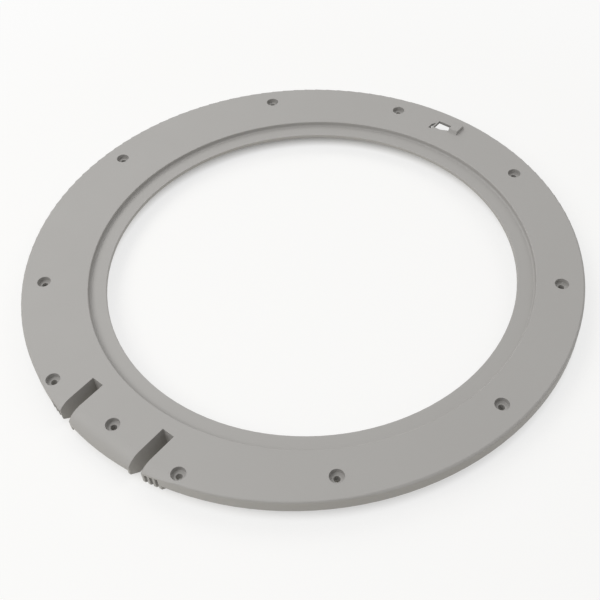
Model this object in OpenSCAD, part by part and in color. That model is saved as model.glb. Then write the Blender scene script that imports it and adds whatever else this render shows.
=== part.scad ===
// Inner door frame of a front loading washing machine.
// One injection moulded ring. The face that meets the machine is on top, the hollow side is below.
// The latch is towards +X, the hinge towards -X. The ring's centre on its lowest plane is the origin.

/* [Ring] */
// Outer diameter of the ring
ring_d = 393; // [385:1:410]
// Height of the face above the feet of the hinge box and the latch housing
face_h = 18.5; // [16:0.5:24]
// Depth of the rim below the face
rim_depth = 9.4; // [8:0.1:11]
// Thickness of the face
face_t = 2.2; // [1.8:0.1:3]
// Thickness of the rim
rim_t = 2.2; // [1.6:0.1:3]
// Rounding of the rim's upper edge
rim_round = 1.4; // [0.5:0.1:1.5]

/* [Opening] */
// Diameter of the opening for the door glass
opening_d = 288; // [276:1:292]
// How far the opening's centre lies from the ring's centre, towards -Y
opening_drop = 9; // [0:0.5:11]
// Width of the sunken lip round the opening
lip_w = 12; // [8:0.5:14]
// Depth of the lip below the face
lip_depth = 4; // [3:0.1:5.5]
// Thickness of the lip
lip_t = 2.4; // [1.8:0.1:3]
// Thickness of the step wall between the lip and the face
step_t = 2; // [1.6:0.1:3]
// Fillet at the foot of the step
foot_r = 1.5; // [0.5:0.1:2.5]
// Rounding of the lip's free edge and of the step's upper edge
edge_r = 0.6; // [0.3:0.1:0.8]

/* [Screws] */
// Diameter of the screw holes
screw_d = 4.2; // [3.4:0.1:5]
// Diameter of the sunken seats for the screw heads
seat_d = 9.4; // [8:0.1:11]
// Depth of the sunken seats
seat_depth = 3.5; // [2:0.1:5]
// Wall of the bosses round the seats
boss_wall = 1.8; // [1.4:0.1:2.4]
// Diameter of the slim part of the bosses
shank_d = 8; // [7:0.1:9]
// Distance from the rim to the circle on which the screws lie
screw_inset = 15.5; // [13:0.5:17]
// Places of the screws round that circle, in degrees from the latch
screw_angles = [12.3, 46.5, 90.7, 135.4, 180, 225.9, 261.8, 297.4, 334.6];
// Distance from the middle hinge screw to the one on each side of it
hinge_screw_pitch = 56; // [55:0.5:58]

/* [Hinge] */
// Distance between the middles of the two slots for the hinge arms
slot_pitch = 63; // [60:0.5:64]
// Width of each slot
slot_w = 9.3; // [7:0.1:10]
// Length of each slot, from the rim inwards
slot_l = 32; // [26:0.5:33]
// How far inside the rim the face starts to roll down, along the hinge
roll_w = 12.5; // [8:0.5:13]
// Radius of the roll
roll_r = 13.3; // [13.1:0.1:18]
// Thickness of the walls and ribs of the hinge box
box_t = 1.6; // [1.2:0.1:1.8]
// Distance from one rib of the comb beside a slot to the next
comb_pitch = 3.75; // [3.4:0.05:3.8]
// Number of gaps in each comb
comb_gaps = 3; // [1:1:3]
// Thickness of the face over the gaps of the comb
comb_skin = 1.3; // [1:0.1:1.8]
// Height of the bevel at the foot of the walls and ribs, where they meet the rim
bevel_h = 5.6; // [2:0.1:7]
// Width of that bevel
bevel_w = 6.4; // [2:0.1:8]

/* [Latch] */
// Distance from the rim to the outer edge of the latch window
window_inset = 12.2; // [10:0.1:14]
// Length of the window along the ring's radius
window_l = 9; // [7:0.1:10]
// Width of the latch window
window_w = 12.5; // [10:0.1:14]
// How far the window's middle lies from the X axis, towards -Y
window_shift = 3; // [0:0.1:4]
// How far the inner edge of the window slants
window_slant = 2.8; // [0:0.1:4]
// Thickness of the strip between the window and the wedge shaped slot beside it
strip_t = 1; // [0.8:0.1:1.5]
// Width of the wedge shaped slot
wedge_w = 2.2; // [1.5:0.1:3]
// Length of its straight side
wedge_l = 8.8; // [6:0.1:10]
// Length of its other side
wedge_back = 5; // [3:0.1:7]
// Height of the lug beside the window, above the face
lug_h = 3; // [1.5:0.1:4]
// Length of the lug along the ring's radius
lug_l = 11; // [8:0.5:12]
// Width of the lug
lug_w = 7.5; // [5:0.5:9]
// Width of the latch housing below the window
housing_w = 32; // [28:1:36]
// Thickness of its walls
housing_t = 1.6; // [1.2:0.1:2]
// Gap between the window and the housing's inner wall
housing_gap = 2; // [1:0.5:4]

/* [Stiffening] */
// Angle between one stiffening rib and the next
rib_step = 9; // [8:1:12]
// Thickness of the stiffening ribs
rib_t = 1.4; // [1:0.1:2]
// How far the stiffening ribs end above the rim's free edge
rib_gap = 1.5; // [0.5:0.1:3]

/* [Hidden] */
$fn = 128;
over = 1;
plastic = [0.67, 0.67, 0.655];
ring_r = ring_d / 2;
opening_r = opening_d / 2;
step_r = opening_r + lip_w;
rim_low = face_h - rim_depth;
lip_top = face_h - lip_depth;
lip_low = lip_top - lip_t;
screw_r = ring_r - screw_inset;
seat_floor = face_h - seat_depth;
boss_d = seat_d + 2 * boss_wall;
roll_x = ring_r - roll_w;
slot_x = ring_r - slot_l;
slot_in_y = slot_pitch / 2 - slot_w / 2;
slot_out_y = slot_pitch / 2 + slot_w / 2;
hinge_half = slot_out_y + box_t + comb_gaps * comb_pitch;
window_out = ring_r - window_inset;
window_in = window_out - window_l;
window_y1 = window_w / 2 - window_shift;
window_y0 = -window_w / 2 - window_shift;
wedge_y = window_y1 + strip_t;
housing_x = window_in - housing_gap - housing_t;

// Place where a line at the given distance from the X axis meets a circle of radius r
function chord_x(y, r) = sqrt(r * r - y * y);

// Everything under the face, which rolls down along the hinge, and lower by the given depth
module under_face(depth) {
    rotate([90, 0, 0]) linear_extrude(2 * (ring_r + over), center = true) {
        translate([-roll_x, -over]) square([roll_x + ring_r + over, face_h - depth + over]);
        translate([-roll_x, face_h - roll_r]) circle(roll_r - depth);
        translate([-roll_x - roll_r + depth, -over]) square([roll_r, face_h - roll_r + over]);
    }
}

// Face and rim, as one shell
module shell() {
    difference() {
        intersection() {
            rotate_extrude() difference() {
                translate([opening_r - opening_drop, rim_low])
                    square([ring_r - opening_r + opening_drop, rim_depth]);
                translate([ring_r - rim_round, face_h - rim_round]) difference() {
                    square(rim_round + over);
                    circle(rim_round);
                }
            }
            under_face(0);
        }
        intersection() {
            translate([0, 0, -over]) cylinder(r = ring_r - rim_t, h = face_h);
            under_face(face_t);
        }
    }
}

// Sunken lip round the opening, with the step wall up to the face
module lip() {
    translate([0, -opening_drop, 0]) rotate_extrude() difference() {
        union() {
            translate([opening_r, lip_low]) square([step_r + step_t - opening_r, lip_t]);
            translate([step_r, lip_low]) square([step_t, face_h - lip_low]);
            translate([step_r - foot_r, lip_top]) difference() {
                square(foot_r);
                translate([0, foot_r]) circle(foot_r);
            }
        }
        rounding(opening_r, lip_top);
        rounding(step_r, face_h);
    }
}

// What the rounding of an upper edge takes away, in the section of the lip
module rounding(r, z) {
    translate([r, z - edge_r]) difference() {
        translate([-over, 0]) square(edge_r + over);
        translate([edge_r, 0]) circle(edge_r);
    }
}

// What the lip's pocket takes out of the face
module pocket() {
    translate([0, -opening_drop, lip_low - over]) cylinder(r = step_r + step_t / 2, h = face_h);
}

// A pair of slabs from y0 to y1, mirrored about the X axis, from the rim in to the end of the slots
module slab_pair(y0, y1) {
    for (side = [0, 1]) mirror([0, side, 0])
        translate([-ring_r - over, y0, -over]) cube([slot_l + over, y1 - y0, face_h + 2 * over]);
}

// Gaps of the two combs, cut through the rim up to the face
module comb_cuts() {
    intersection() {
        slab_pair(slot_out_y, hinge_half - box_t / 2);
        under_face(comb_skin);
    }
}

// A pair of ribs of the hinge box, with the bevel at the foot
module hinge_rib_pair(y) {
    x = chord_x(y + box_t / 2, ring_r);
    for (side = [0, 1]) mirror([0, side, 0])
        translate([0, y + box_t, 0]) rotate([90, 0, 0]) linear_extrude(box_t)
            polygon([[-slot_x, 0], [bevel_w - x, 0], [-x - over, bevel_h * (1 + over / bevel_w)],
                [-x - over, face_h], [-slot_x, face_h]]);
}

// Walls along the slots and the ribs of the combs, flush with the rim and the rolled face
module hinge_box() {
    intersection() {
        union() {
            hinge_rib_pair(slot_in_y - box_t);
            for (i = [0:comb_gaps]) hinge_rib_pair(slot_out_y + i * comb_pitch);
            translate([-slot_x - over, -hinge_half, 0]) cube([box_t + over, 2 * hinge_half, face_h]);
        }
        cylinder(r = ring_r, h = face_h);
        under_face(0);
    }
}

// Walls of the latch housing: one behind the window, and one on each side that joins the rim
module latch_housing() {
    top = face_h - face_t / 2;
    joined_x = chord_x(housing_w / 2, ring_r - rim_t / 2);
    free_x = joined_x - rim_t;
    translate([housing_x, -housing_w / 2, 0]) cube([housing_t, housing_w, top]);
    for (side = [0, 1]) mirror([0, side, 0])
        translate([0, housing_w / 2, 0]) rotate([90, 0, 0]) linear_extrude(housing_t)
            polygon([[housing_x, 0], [free_x - bevel_w, 0], [free_x, bevel_h], [free_x, rim_low + over],
                [joined_x, rim_low + over], [joined_x, top], [housing_x, top]]);
}

// Region between the step wall and the rim, where the stiffening ribs run
module rib_region() {
    low = rim_low + rib_gap;
    high = face_h - face_t / 2;
    difference() {
        translate([0, 0, low]) cylinder(r = ring_r - rim_t / 2, h = high - low);
        translate([0, -opening_drop, low - over]) cylinder(r = step_r + step_t / 2, h = high - low + 2 * over);
        translate([-ring_r, -hinge_half + box_t / 2, low - over])
            cube([slot_l + box_t / 2, 2 * hinge_half - box_t, high - low + 2 * over]);
        translate([housing_x + housing_t / 2, -housing_w / 2 + housing_t / 2, low - over])
            cube([ring_r, housing_w - housing_t, high - low + 2 * over]);
    }
}

// Stiffening ribs under the face, from the step wall out to the rim
module stiffening() {
    intersection() {
        rib_region();
        for (a = [rib_step / 2:rib_step:360]) rotate(a)
            translate([opening_r - opening_drop, -rib_t / 2, 0]) cube([ring_r, rib_t, face_h]);
    }
}

// Puts its child at each screw
module at_screws() {
    for (a = screw_angles) rotate(a) translate([screw_r, 0, 0]) rotate(-a) children();
    for (side = [-1, 1]) translate([-screw_r, side * hinge_screw_pitch, 0]) children();
}

// Boss under one screw, slimmer below the seat
module boss() {
    top = face_h - face_t / 2;
    translate([0, 0, seat_floor - face_t]) cylinder(d = boss_d, h = top - seat_floor + face_t);
    translate([0, 0, rim_low]) cylinder(d = shank_d, h = top - rim_low);
}

// Sunken seat and hole of one screw
module screw_hole() {
    translate([0, 0, seat_floor]) cylinder(d = seat_d, h = seat_depth + over);
    translate([0, 0, -over]) cylinder(d = screw_d, h = face_h + 2 * over);
}

// Latch window and the wedge shaped slot beside it, right through the face
module latch_cuts() {
    translate([0, 0, rim_low]) linear_extrude(rim_depth + over) {
        polygon([[window_in, window_y1], [window_out, window_y1], [window_out, window_y0],
            [window_in + window_slant, window_y0], [window_in, window_y0 + window_w / 2]]);
        translate([window_in - window_slant, wedge_y])
            polygon([[0, 0], [wedge_l, 0], [wedge_back, wedge_w], [0, wedge_w]]);
    }
}

// Lug that guides the latch, beside the window
module lug() {
    slope = lug_h / 2;
    sunk = face_t / 2;
    translate([window_in + over, window_y0 - strip_t / 2, face_h - sunk]) rotate([90, 0, 0])
        linear_extrude(lug_w)
            polygon([[0, 0], [lug_l, 0], [lug_l, sunk + slope], [lug_l - slope, sunk + lug_h],
                [slope, sunk + lug_h], [0, sunk]]);
}

module door_frame() {
    color(plastic) difference() {
        union() {
            difference() {
                shell();
                pocket();
                comb_cuts();
            }
            lip();
            stiffening();
            hinge_box();
            latch_housing();
            at_screws() boss();
            lug();
        }
        at_screws() screw_hole();
        slab_pair(slot_in_y, slot_out_y);
        latch_cuts();
    }
}

door_frame();
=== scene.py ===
# %% [markdown]
# # A washing machine door frame in grey plastic
# The real object is one injection-moulded ring that carries the glass of a front loader's door. It is a
# single piece with no moving parts, so its whole shape is already in the imported model that is loaded here.
# What is left to make is how it looks: the moulded finish, the table under it, soft studio light, and a
# camera that stands where the photographer stood. Rebuilding the ring by hand in Blender would only bring
# small errors into screw holes and slots that are exact already.

# %% Load the imported ring
import math

import bmesh
import bpy
from mathutils import Matrix, Vector

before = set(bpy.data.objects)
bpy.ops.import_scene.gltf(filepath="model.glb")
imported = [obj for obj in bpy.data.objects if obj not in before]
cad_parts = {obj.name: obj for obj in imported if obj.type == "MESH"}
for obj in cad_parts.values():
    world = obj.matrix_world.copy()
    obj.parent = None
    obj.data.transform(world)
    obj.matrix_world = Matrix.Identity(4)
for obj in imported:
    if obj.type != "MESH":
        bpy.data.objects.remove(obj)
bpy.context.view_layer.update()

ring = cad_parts["door_frame"]
print("ring:", len(ring.data.polygons), "faces")

# %% [markdown]
# ## Screen colours and shader colours
# A colour that is picked on a screen is stored on a curve, while a shader adds up light in straight
# numbers. Typing screen values into a shader makes every grey far too pale. One small function turns
# screen levels from 0 to 255 into shader values, so the greys below can be read as they appear.

# %% Turn screen levels into shader values
def shader_level(level):
    share = level / 255
    return share / 12.92 if share <= 0.04045 else ((share + 0.055) / 1.055) ** 2.4


def shader_colour(red, green, blue):
    return (shader_level(red), shader_level(green), shader_level(blue), 1)


pale_grey = shader_colour(174, 172, 169)
deep_grey = shader_colour(169, 167, 164)
# the palest grey is a painted highlight for the edges
edge_highlight_grey = shader_colour(180, 178, 175)
print("pale grey in the shader:", [round(v, 3) for v in pale_grey[:3]])

# %% [markdown]
# ## A material made of nodes
# A finish like this could be painted on an image, but an image has to be unwrapped onto every slot and rib,
# and it blurs close up. Noise that is computed from the ring's own coordinates has no seams and no limit of
# detail, and its scale can be given per metre. This helper adds a node and fills in its settings, which
# keeps the cells after it short.

# %% A blank plastic and a helper that adds nodes
plastic = bpy.data.materials.new("moulded_grey_plastic")
plastic.use_nodes = True
plastic_tree = plastic.node_tree
plastic_shader = plastic_tree.nodes["Principled BSDF"]


def add_node(tree, kind, values=(), **settings):
    node = tree.nodes.new(kind)
    for name, value in settings.items():
        setattr(node, name, value)
    for socket, value in dict(values).items():
        node.inputs[socket].default_value = value
    return node


ring_place = add_node(plastic_tree, "ShaderNodeTexCoord").outputs["Object"]


def noise_on_ring(per_metre, detail=1.0):
    noise = add_node(plastic_tree, "ShaderNodeTexNoise", {"Scale": per_metre, "Detail": detail})
    plastic_tree.links.new(ring_place, noise.inputs["Vector"])
    return noise.outputs["Fac"]


print("material:", plastic.name)

# %% [markdown]
# ## The grey of the moulding
# The pigment is in the plastic, so there is no paint to chip, but it never mixes perfectly: where the melt
# flowed on, the grey drifts by a shade or two over the width of a hand. Two greys close together, mixed by a
# slow noise, give that drift. A second noise, about as fine as a grain of salt, breaks up what is left,
# so that a flat area doesn't look like flat colour.

# %% Mix the two greys
DRIFT_PER_METRE = 11
SPECKLE_PER_METRE = 1300
SPECKLE_SHARE = 0.35


def mix_colours(share, first, second):
    mix = add_node(plastic_tree, "ShaderNodeMix", data_type="RGBA")
    plastic_tree.links.new(share, mix.inputs[0])
    for socket, colour in ((6, first), (7, second)):
        if isinstance(colour, tuple):
            mix.inputs[socket].default_value = colour
        else:
            plastic_tree.links.new(colour, mix.inputs[socket])
    return mix.outputs[2]


drift = noise_on_ring(DRIFT_PER_METRE, 2)
speckle = noise_on_ring(SPECKLE_PER_METRE)
both = add_node(plastic_tree, "ShaderNodeMix", {0: SPECKLE_SHARE}, data_type="FLOAT")
plastic_tree.links.new(drift, both.inputs[2])
plastic_tree.links.new(speckle, both.inputs[3])
moulded_colour = mix_colours(both.outputs[0], deep_grey, pale_grey)
print("drift of the grey about every", round(1000 / DRIFT_PER_METRE), "mm")

# %% [markdown]
# ## Soft edges
# No edge of a moulding is razor sharp: the tool is polished there, and the plastic shrinks a little as it
# cools. The large roundings are real shape in the model. The last fraction of a millimetre could be cut with
# a Bevel modifier, but this mesh comes as loose triangles, which such a modifier would tear. The Bevel node
# instead looks for neighbouring surfaces and turns the light over each edge, which is all that a
# radius far smaller than a pixel can show.

# %% Turn the light over the edges
EDGE_RADIUS = 0.00035

soft_edge = add_node(plastic_tree, "ShaderNodeBevel", {"Radius": EDGE_RADIUS}, samples=6)
print("edge radius in mm:", 1000 * EDGE_RADIUS)

# %% [markdown]
# ## Edges with a painted highlight
# Every edge is painted a shade paler than the faces, as a painted highlight like the light that edges catch.
# An
# edge can be found without painting it: there, the softened direction from the Bevel node and the surface's
# own direction disagree. Their dot product is 1 on flat areas and falls at an edge, and a map range turns
# that small fall into a share of the paler grey.

# %% Paint a highlight on the edges
# how much painted highlight the edges get
EDGE_HIGHLIGHT_SHARE = 0.45
HIGHLIGHT_FROM, HIGHLIGHT_TO = 0.995, 0.8

surface_direction = add_node(plastic_tree, "ShaderNodeNewGeometry").outputs["Normal"]
agreement = add_node(plastic_tree, "ShaderNodeVectorMath", operation="DOT_PRODUCT")
plastic_tree.links.new(soft_edge.outputs["Normal"], agreement.inputs[0])
plastic_tree.links.new(surface_direction, agreement.inputs[1])
edge_highlight_share = add_node(
    plastic_tree,
    "ShaderNodeMapRange",
    {"From Min": HIGHLIGHT_FROM, "From Max": HIGHLIGHT_TO, "To Min": 0.0, "To Max": EDGE_HIGHLIGHT_SHARE},
)
plastic_tree.links.new(agreement.outputs["Value"], edge_highlight_share.inputs["Value"])
# painted highlight: every edge is mixed towards the paler grey
highlighted_colour = mix_colours(edge_highlight_share.outputs["Result"], moulded_colour, edge_highlight_grey)
plastic_tree.links.new(highlighted_colour, plastic_shader.inputs["Base Color"])
print("edges are up to", round(100 * EDGE_HIGHLIGHT_SHARE), "% rubbed")

# %% [markdown]
# ## How dull the surface is
# The tool's steel is spark eroded, which leaves a fine matte skin that scatters light. Roughness near the
# middle of its range gives that broad, weak sheen. It varies a little where the skin was handled or lay
# against the steel a moment longer, so a slow noise moves it up and down.

# %% Set the sheen
SHEEN_PER_METRE = 45
DULLEST, GLOSSIEST = 0.62, 0.5

sheen = add_node(plastic_tree, "ShaderNodeMapRange", {"To Min": GLOSSIEST, "To Max": DULLEST})
plastic_tree.links.new(noise_on_ring(SHEEN_PER_METRE, 2), sheen.inputs["Value"])
plastic_tree.links.new(sheen.outputs["Result"], plastic_shader.inputs["Roughness"])
plastic_shader.inputs["IOR"].default_value = 1.5
print("roughness from", GLOSSIEST, "to", DULLEST)

# %% [markdown]
# ## Grain and shrinkage
# Two kinds of relief lie on the face. The grain of the eroded skin is about a third of a millimetre across
# and a few hundredths deep. The other is broad and shallow: thick places behind the face shrink
# more, so the surface is never quite flat. Modelling either would need millions of faces, so both are bumps,
# the broad one first and the grain on top of it, and both start from the softened edges.

# %% Add the two bumps
GRAIN_PER_METRE = 2400
GRAIN_DEPTH = 0.00002
SHRINK_PER_METRE = 28
SHRINK_DEPTH = 0.00012


def bump_on_ring(height, depth, below):
    bump = add_node(plastic_tree, "ShaderNodeBump", {"Strength": 1.0, "Distance": depth})
    plastic_tree.links.new(height, bump.inputs["Height"])
    plastic_tree.links.new(below, bump.inputs["Normal"])
    return bump.outputs["Normal"]


shrunk = bump_on_ring(noise_on_ring(SHRINK_PER_METRE), SHRINK_DEPTH, soft_edge.outputs["Normal"])
grained = bump_on_ring(noise_on_ring(GRAIN_PER_METRE, 2), GRAIN_DEPTH, shrunk)
plastic_tree.links.new(grained, plastic_shader.inputs["Normal"])
print("grain about every", round(1000 / GRAIN_PER_METRE, 2), "mm")

# %% [markdown]
# ## Put the plastic on the ring
# The ring keeps its mesh untouched, because other tools measure it. Only the material in its slot changes.

# %% Assign the finish
for slot in ring.material_slots:
    slot.material = plastic
print("slots filled:", len(ring.material_slots), "nodes in the finish:", len(plastic_tree.nodes))

# %% [markdown]
# ## The table top
# The ring lies on a plain white table. A grid of one face is enough, made wide so that no edge of it is
# in view. It is 0.2 mm below the ring, far too little to see, so that two surfaces never share one plane.
# It belongs to the stage and not to the product.

# %% Lay the table top
TABLE_HALF = 4.0
TABLE_DROP = 0.0002

table_mesh = bpy.data.meshes.new("table_top")
table_bm = bmesh.new()
bmesh.ops.create_grid(
    table_bm,
    x_segments=1,
    y_segments=1,
    size=TABLE_HALF,
    matrix=Matrix.Translation((0, 0, -TABLE_DROP)),
)
table_bm.to_mesh(table_mesh)
table_bm.free()
table_top = bpy.data.objects.new("table_top", table_mesh)
bpy.context.scene.collection.objects.link(table_top)
print("table top:", 2 * TABLE_HALF, "m wide")

# %% [markdown]
# ## Who sees the glow
# The photograph's ground is bright white. More light would reach that white too, but it would bleach the
# ring. The table is instead part white paint, which carries the shadow, and part plain glow. The glow must
# not light the ring, so only rays that come straight from the camera, or from a mirror or glass, may see
# it. The Light Path node tells which rays those are, and a helper for sums keeps the recipe readable.

# %% Tell the camera's rays from the rest
def calculate(tree, operation, first, second):
    node = add_node(tree, "ShaderNodeMath", operation=operation)
    for socket, value in zip(node.inputs, (first, second)):
        if isinstance(value, (int, float)):
            socket.default_value = value
        else:
            tree.links.new(value, socket)
    return node.outputs["Value"]


def seen_directly(tree):
    rays = add_node(tree, "ShaderNodeLightPath").outputs
    sharp = calculate(tree, "MAXIMUM", rays["Is Glossy Ray"], rays["Is Transmission Ray"])
    return calculate(tree, "MAXIMUM", rays["Is Camera Ray"], sharp)


paint = bpy.data.materials.new("white_table")
paint.use_nodes = True
paint_tree = paint.node_tree
paint_tree.nodes.clear()
print("table paint:", paint.name)

# %% [markdown]
# ## Where the table glows
# Close to the ring the paint has to show, or the shadow is lost, and far away plain white hides the place
# where the table ends. So the share of glow grows with the distance from the middle. Right under the ring
# there is none, and it fades in over two centimetres: a real table is dark there, so the fade paints a soft
# contact shadow over the real shade that the paint gets, and a glow would shine up through the screw holes.

# %% Work out the share of glow
GLOW_NEAR, GLOW_FAR = 0.75, 1.0
NEAR_REACH, FAR_REACH = 0.3, 0.9
OPENING_CENTRE = (0, -0.009, 0)
SHADOW_BY_OPENING = (0.148, 0.162)
SHADOW_BY_RIM = (0.198, 0.178)

table_place = add_node(paint_tree, "ShaderNodeTexCoord").outputs["Object"]
from_middle = add_node(paint_tree, "ShaderNodeVectorMath", operation="LENGTH")
from_opening = add_node(
    paint_tree, "ShaderNodeVectorMath", {1: OPENING_CENTRE}, operation="DISTANCE"
)
for distance in (from_middle, from_opening):
    paint_tree.links.new(table_place, distance.inputs[0])


def share_between(distance, start, end, low=0.0, high=1.0):
    share = add_node(
        paint_tree,
        "ShaderNodeMapRange",
        {"From Min": start, "From Max": end, "To Min": low, "To Max": high},
    )
    paint_tree.links.new(distance.outputs["Value"], share.inputs["Value"])
    return share.outputs["Result"]


widening = share_between(from_middle, NEAR_REACH, FAR_REACH, GLOW_NEAR, GLOW_FAR)
# painted contact shadow: no glow under the ring, fading in at its edges
ring_shadow_zone = calculate(
    paint_tree,
    "MULTIPLY",
    share_between(from_opening, *SHADOW_BY_OPENING),
    share_between(from_middle, *SHADOW_BY_RIM),
)
free_share = calculate(
    paint_tree, "MULTIPLY", widening, calculate(paint_tree, "SUBTRACT", 1.0, ring_shadow_zone)
)
glow_share = calculate(paint_tree, "MULTIPLY", free_share, seen_directly(paint_tree))
print("share of glow from", GLOW_NEAR, "near the ring to", GLOW_FAR, "far away")

# %% [markdown]
# ## Paint the table
# The paint is a trace warmer than white, as the table in the photograph is: its cream bounces up on the
# walls of the rim, which is why they look warmer than the face. From below, the table is clear, so the
# ring's underside can be looked at.

# %% Join paint, glow and clear
def join_shaders(tree, share, first, second):
    joined = add_node(tree, "ShaderNodeMixShader")
    for socket, source in zip(joined.inputs, (share, first, second)):
        tree.links.new(source, socket)
    return joined.outputs["Shader"]


cream_paint = add_node(paint_tree, "ShaderNodeBsdfDiffuse", {"Color": shader_colour(251, 248, 240)})
white_glow = add_node(
    paint_tree, "ShaderNodeEmission", {"Color": (0.99, 0.993, 1, 1), "Strength": 1.0}
)
clear = add_node(paint_tree, "ShaderNodeBsdfTransparent")
seen_from_below = add_node(paint_tree, "ShaderNodeNewGeometry").outputs["Backfacing"]
painted = join_shaders(paint_tree, glow_share, cream_paint.outputs[0], white_glow.outputs[0])
two_sided = join_shaders(paint_tree, seen_from_below, painted, clear.outputs[0])
paint_out = add_node(paint_tree, "ShaderNodeOutputMaterial")
paint_tree.links.new(two_sided, paint_out.inputs["Surface"])
table_mesh.materials.append(paint)
print("nodes in the table's paint:", len(paint_tree.nodes))

# %% [markdown]
# ## The room's own light
# In a white studio, light comes from every wall, which is why the photograph has no black shadow. The world
# gives that even light. The camera sees the world as plain white, so the picture has no horizon.

# %% Light the room
ROOM_STRENGTH = 0.35

room = bpy.data.worlds.new("white_room")
bpy.context.scene.world = room
room.use_nodes = True
room_tree = room.node_tree
room_tree.nodes.clear()
room_light = add_node(
    room_tree, "ShaderNodeBackground", {"Color": (1, 0.995, 0.985, 1), "Strength": ROOM_STRENGTH}
)
room_seen = add_node(room_tree, "ShaderNodeBackground", {"Color": (1, 1, 1, 1), "Strength": 1.0})
room_mix = join_shaders(
    room_tree, seen_directly(room_tree), room_light.outputs[0], room_seen.outputs[0]
)
room_out = add_node(room_tree, "ShaderNodeOutputWorld")
room_tree.links.new(room_mix, room_out.inputs["Surface"])
print("room strength:", ROOM_STRENGTH)

# %% [markdown]
# ## Soft boxes
# The ring's walls show where the light comes from. The face is palest at the left of the picture, walls that
# face the camera are darkest, and the step round the opening has its deepest shade at the far side. Single
# lamps added up in fitted shares came closest with three: a strong one at
# the left, a weaker one at the far side, and a faint one at the right. Wide square lamps make the soft, short
# shadows of soft boxes. A point lamp or a sun would draw hard lines in the slots, which the photograph
# doesn't have.

# %% Hang the soft boxes
LOOK_AT = Vector((0, 0, 0.01))
BOX_HEIGHT = 50
BOX_DISTANCE = 1.5
BOX_SIZE = 0.9


def soft_box(name, heading, watts):
    lamp = bpy.data.lights.new(name, "AREA")
    lamp.shape = "SQUARE"
    lamp.size = BOX_SIZE
    lamp.energy = watts
    holder = bpy.data.objects.new(name, lamp)
    bpy.context.scene.collection.objects.link(holder)
    turn, rise = math.radians(heading), math.radians(BOX_HEIGHT)
    away = Vector((math.cos(turn) * math.cos(rise), math.sin(turn) * math.cos(rise), math.sin(rise)))
    holder.matrix_world = Matrix.LocRotScale(
        LOOK_AT + BOX_DISTANCE * away, (-away).to_track_quat("-Z", "Y"), None
    )
    print(name, "at", [round(v, 2) for v in holder.location], "m,", watts, "W")


for name, heading, watts in (
    ("left_soft_box", 157.5, 9.1),
    ("far_soft_box", 67.5, 4.8),
    ("right_soft_box", 337.5, 3.1),
):
    soft_box(name, heading, watts)

# %% [markdown]
# ## The photographer's place
# The camera looks down at about 49 degrees, turned to the hinge side, so that the slots are near and the
# latch is far. Its place and lens were worked out from the circles in the photograph: a circle in
# perspective is an ellipse, and where the hole, the step, the rim and the screws fall together allows only
# one place to stand. Guessing by eye would leave the ring a few pixels too round or too flat.

# %% Place the camera
EYE = Vector((-0.32771, -0.29345, 0.46726))
LENS_MM = 53.04

ahead = Vector((0.4905, 0.4438, -0.7500)).normalized()
rightwards = Vector((0.6305, -0.7748, -0.0462))
rightwards = (rightwards - rightwards.dot(ahead) * ahead).normalized()
upwards = rightwards.cross(ahead)
camera_data = bpy.data.cameras.new("photo_camera")
camera_data.lens = LENS_MM
camera_data.sensor_width = 36
camera = bpy.data.objects.new("photo_camera", camera_data)
bpy.context.scene.collection.objects.link(camera)
camera.matrix_world = Matrix.LocRotScale(
    EYE, Matrix((rightwards, upwards, -ahead)).transposed(), None
)
bpy.context.scene.camera = camera
bpy.context.scene.view_settings.view_transform = "Standard"
print("camera looks down at", round(math.degrees(math.asin(-ahead.z)), 1), "degrees")
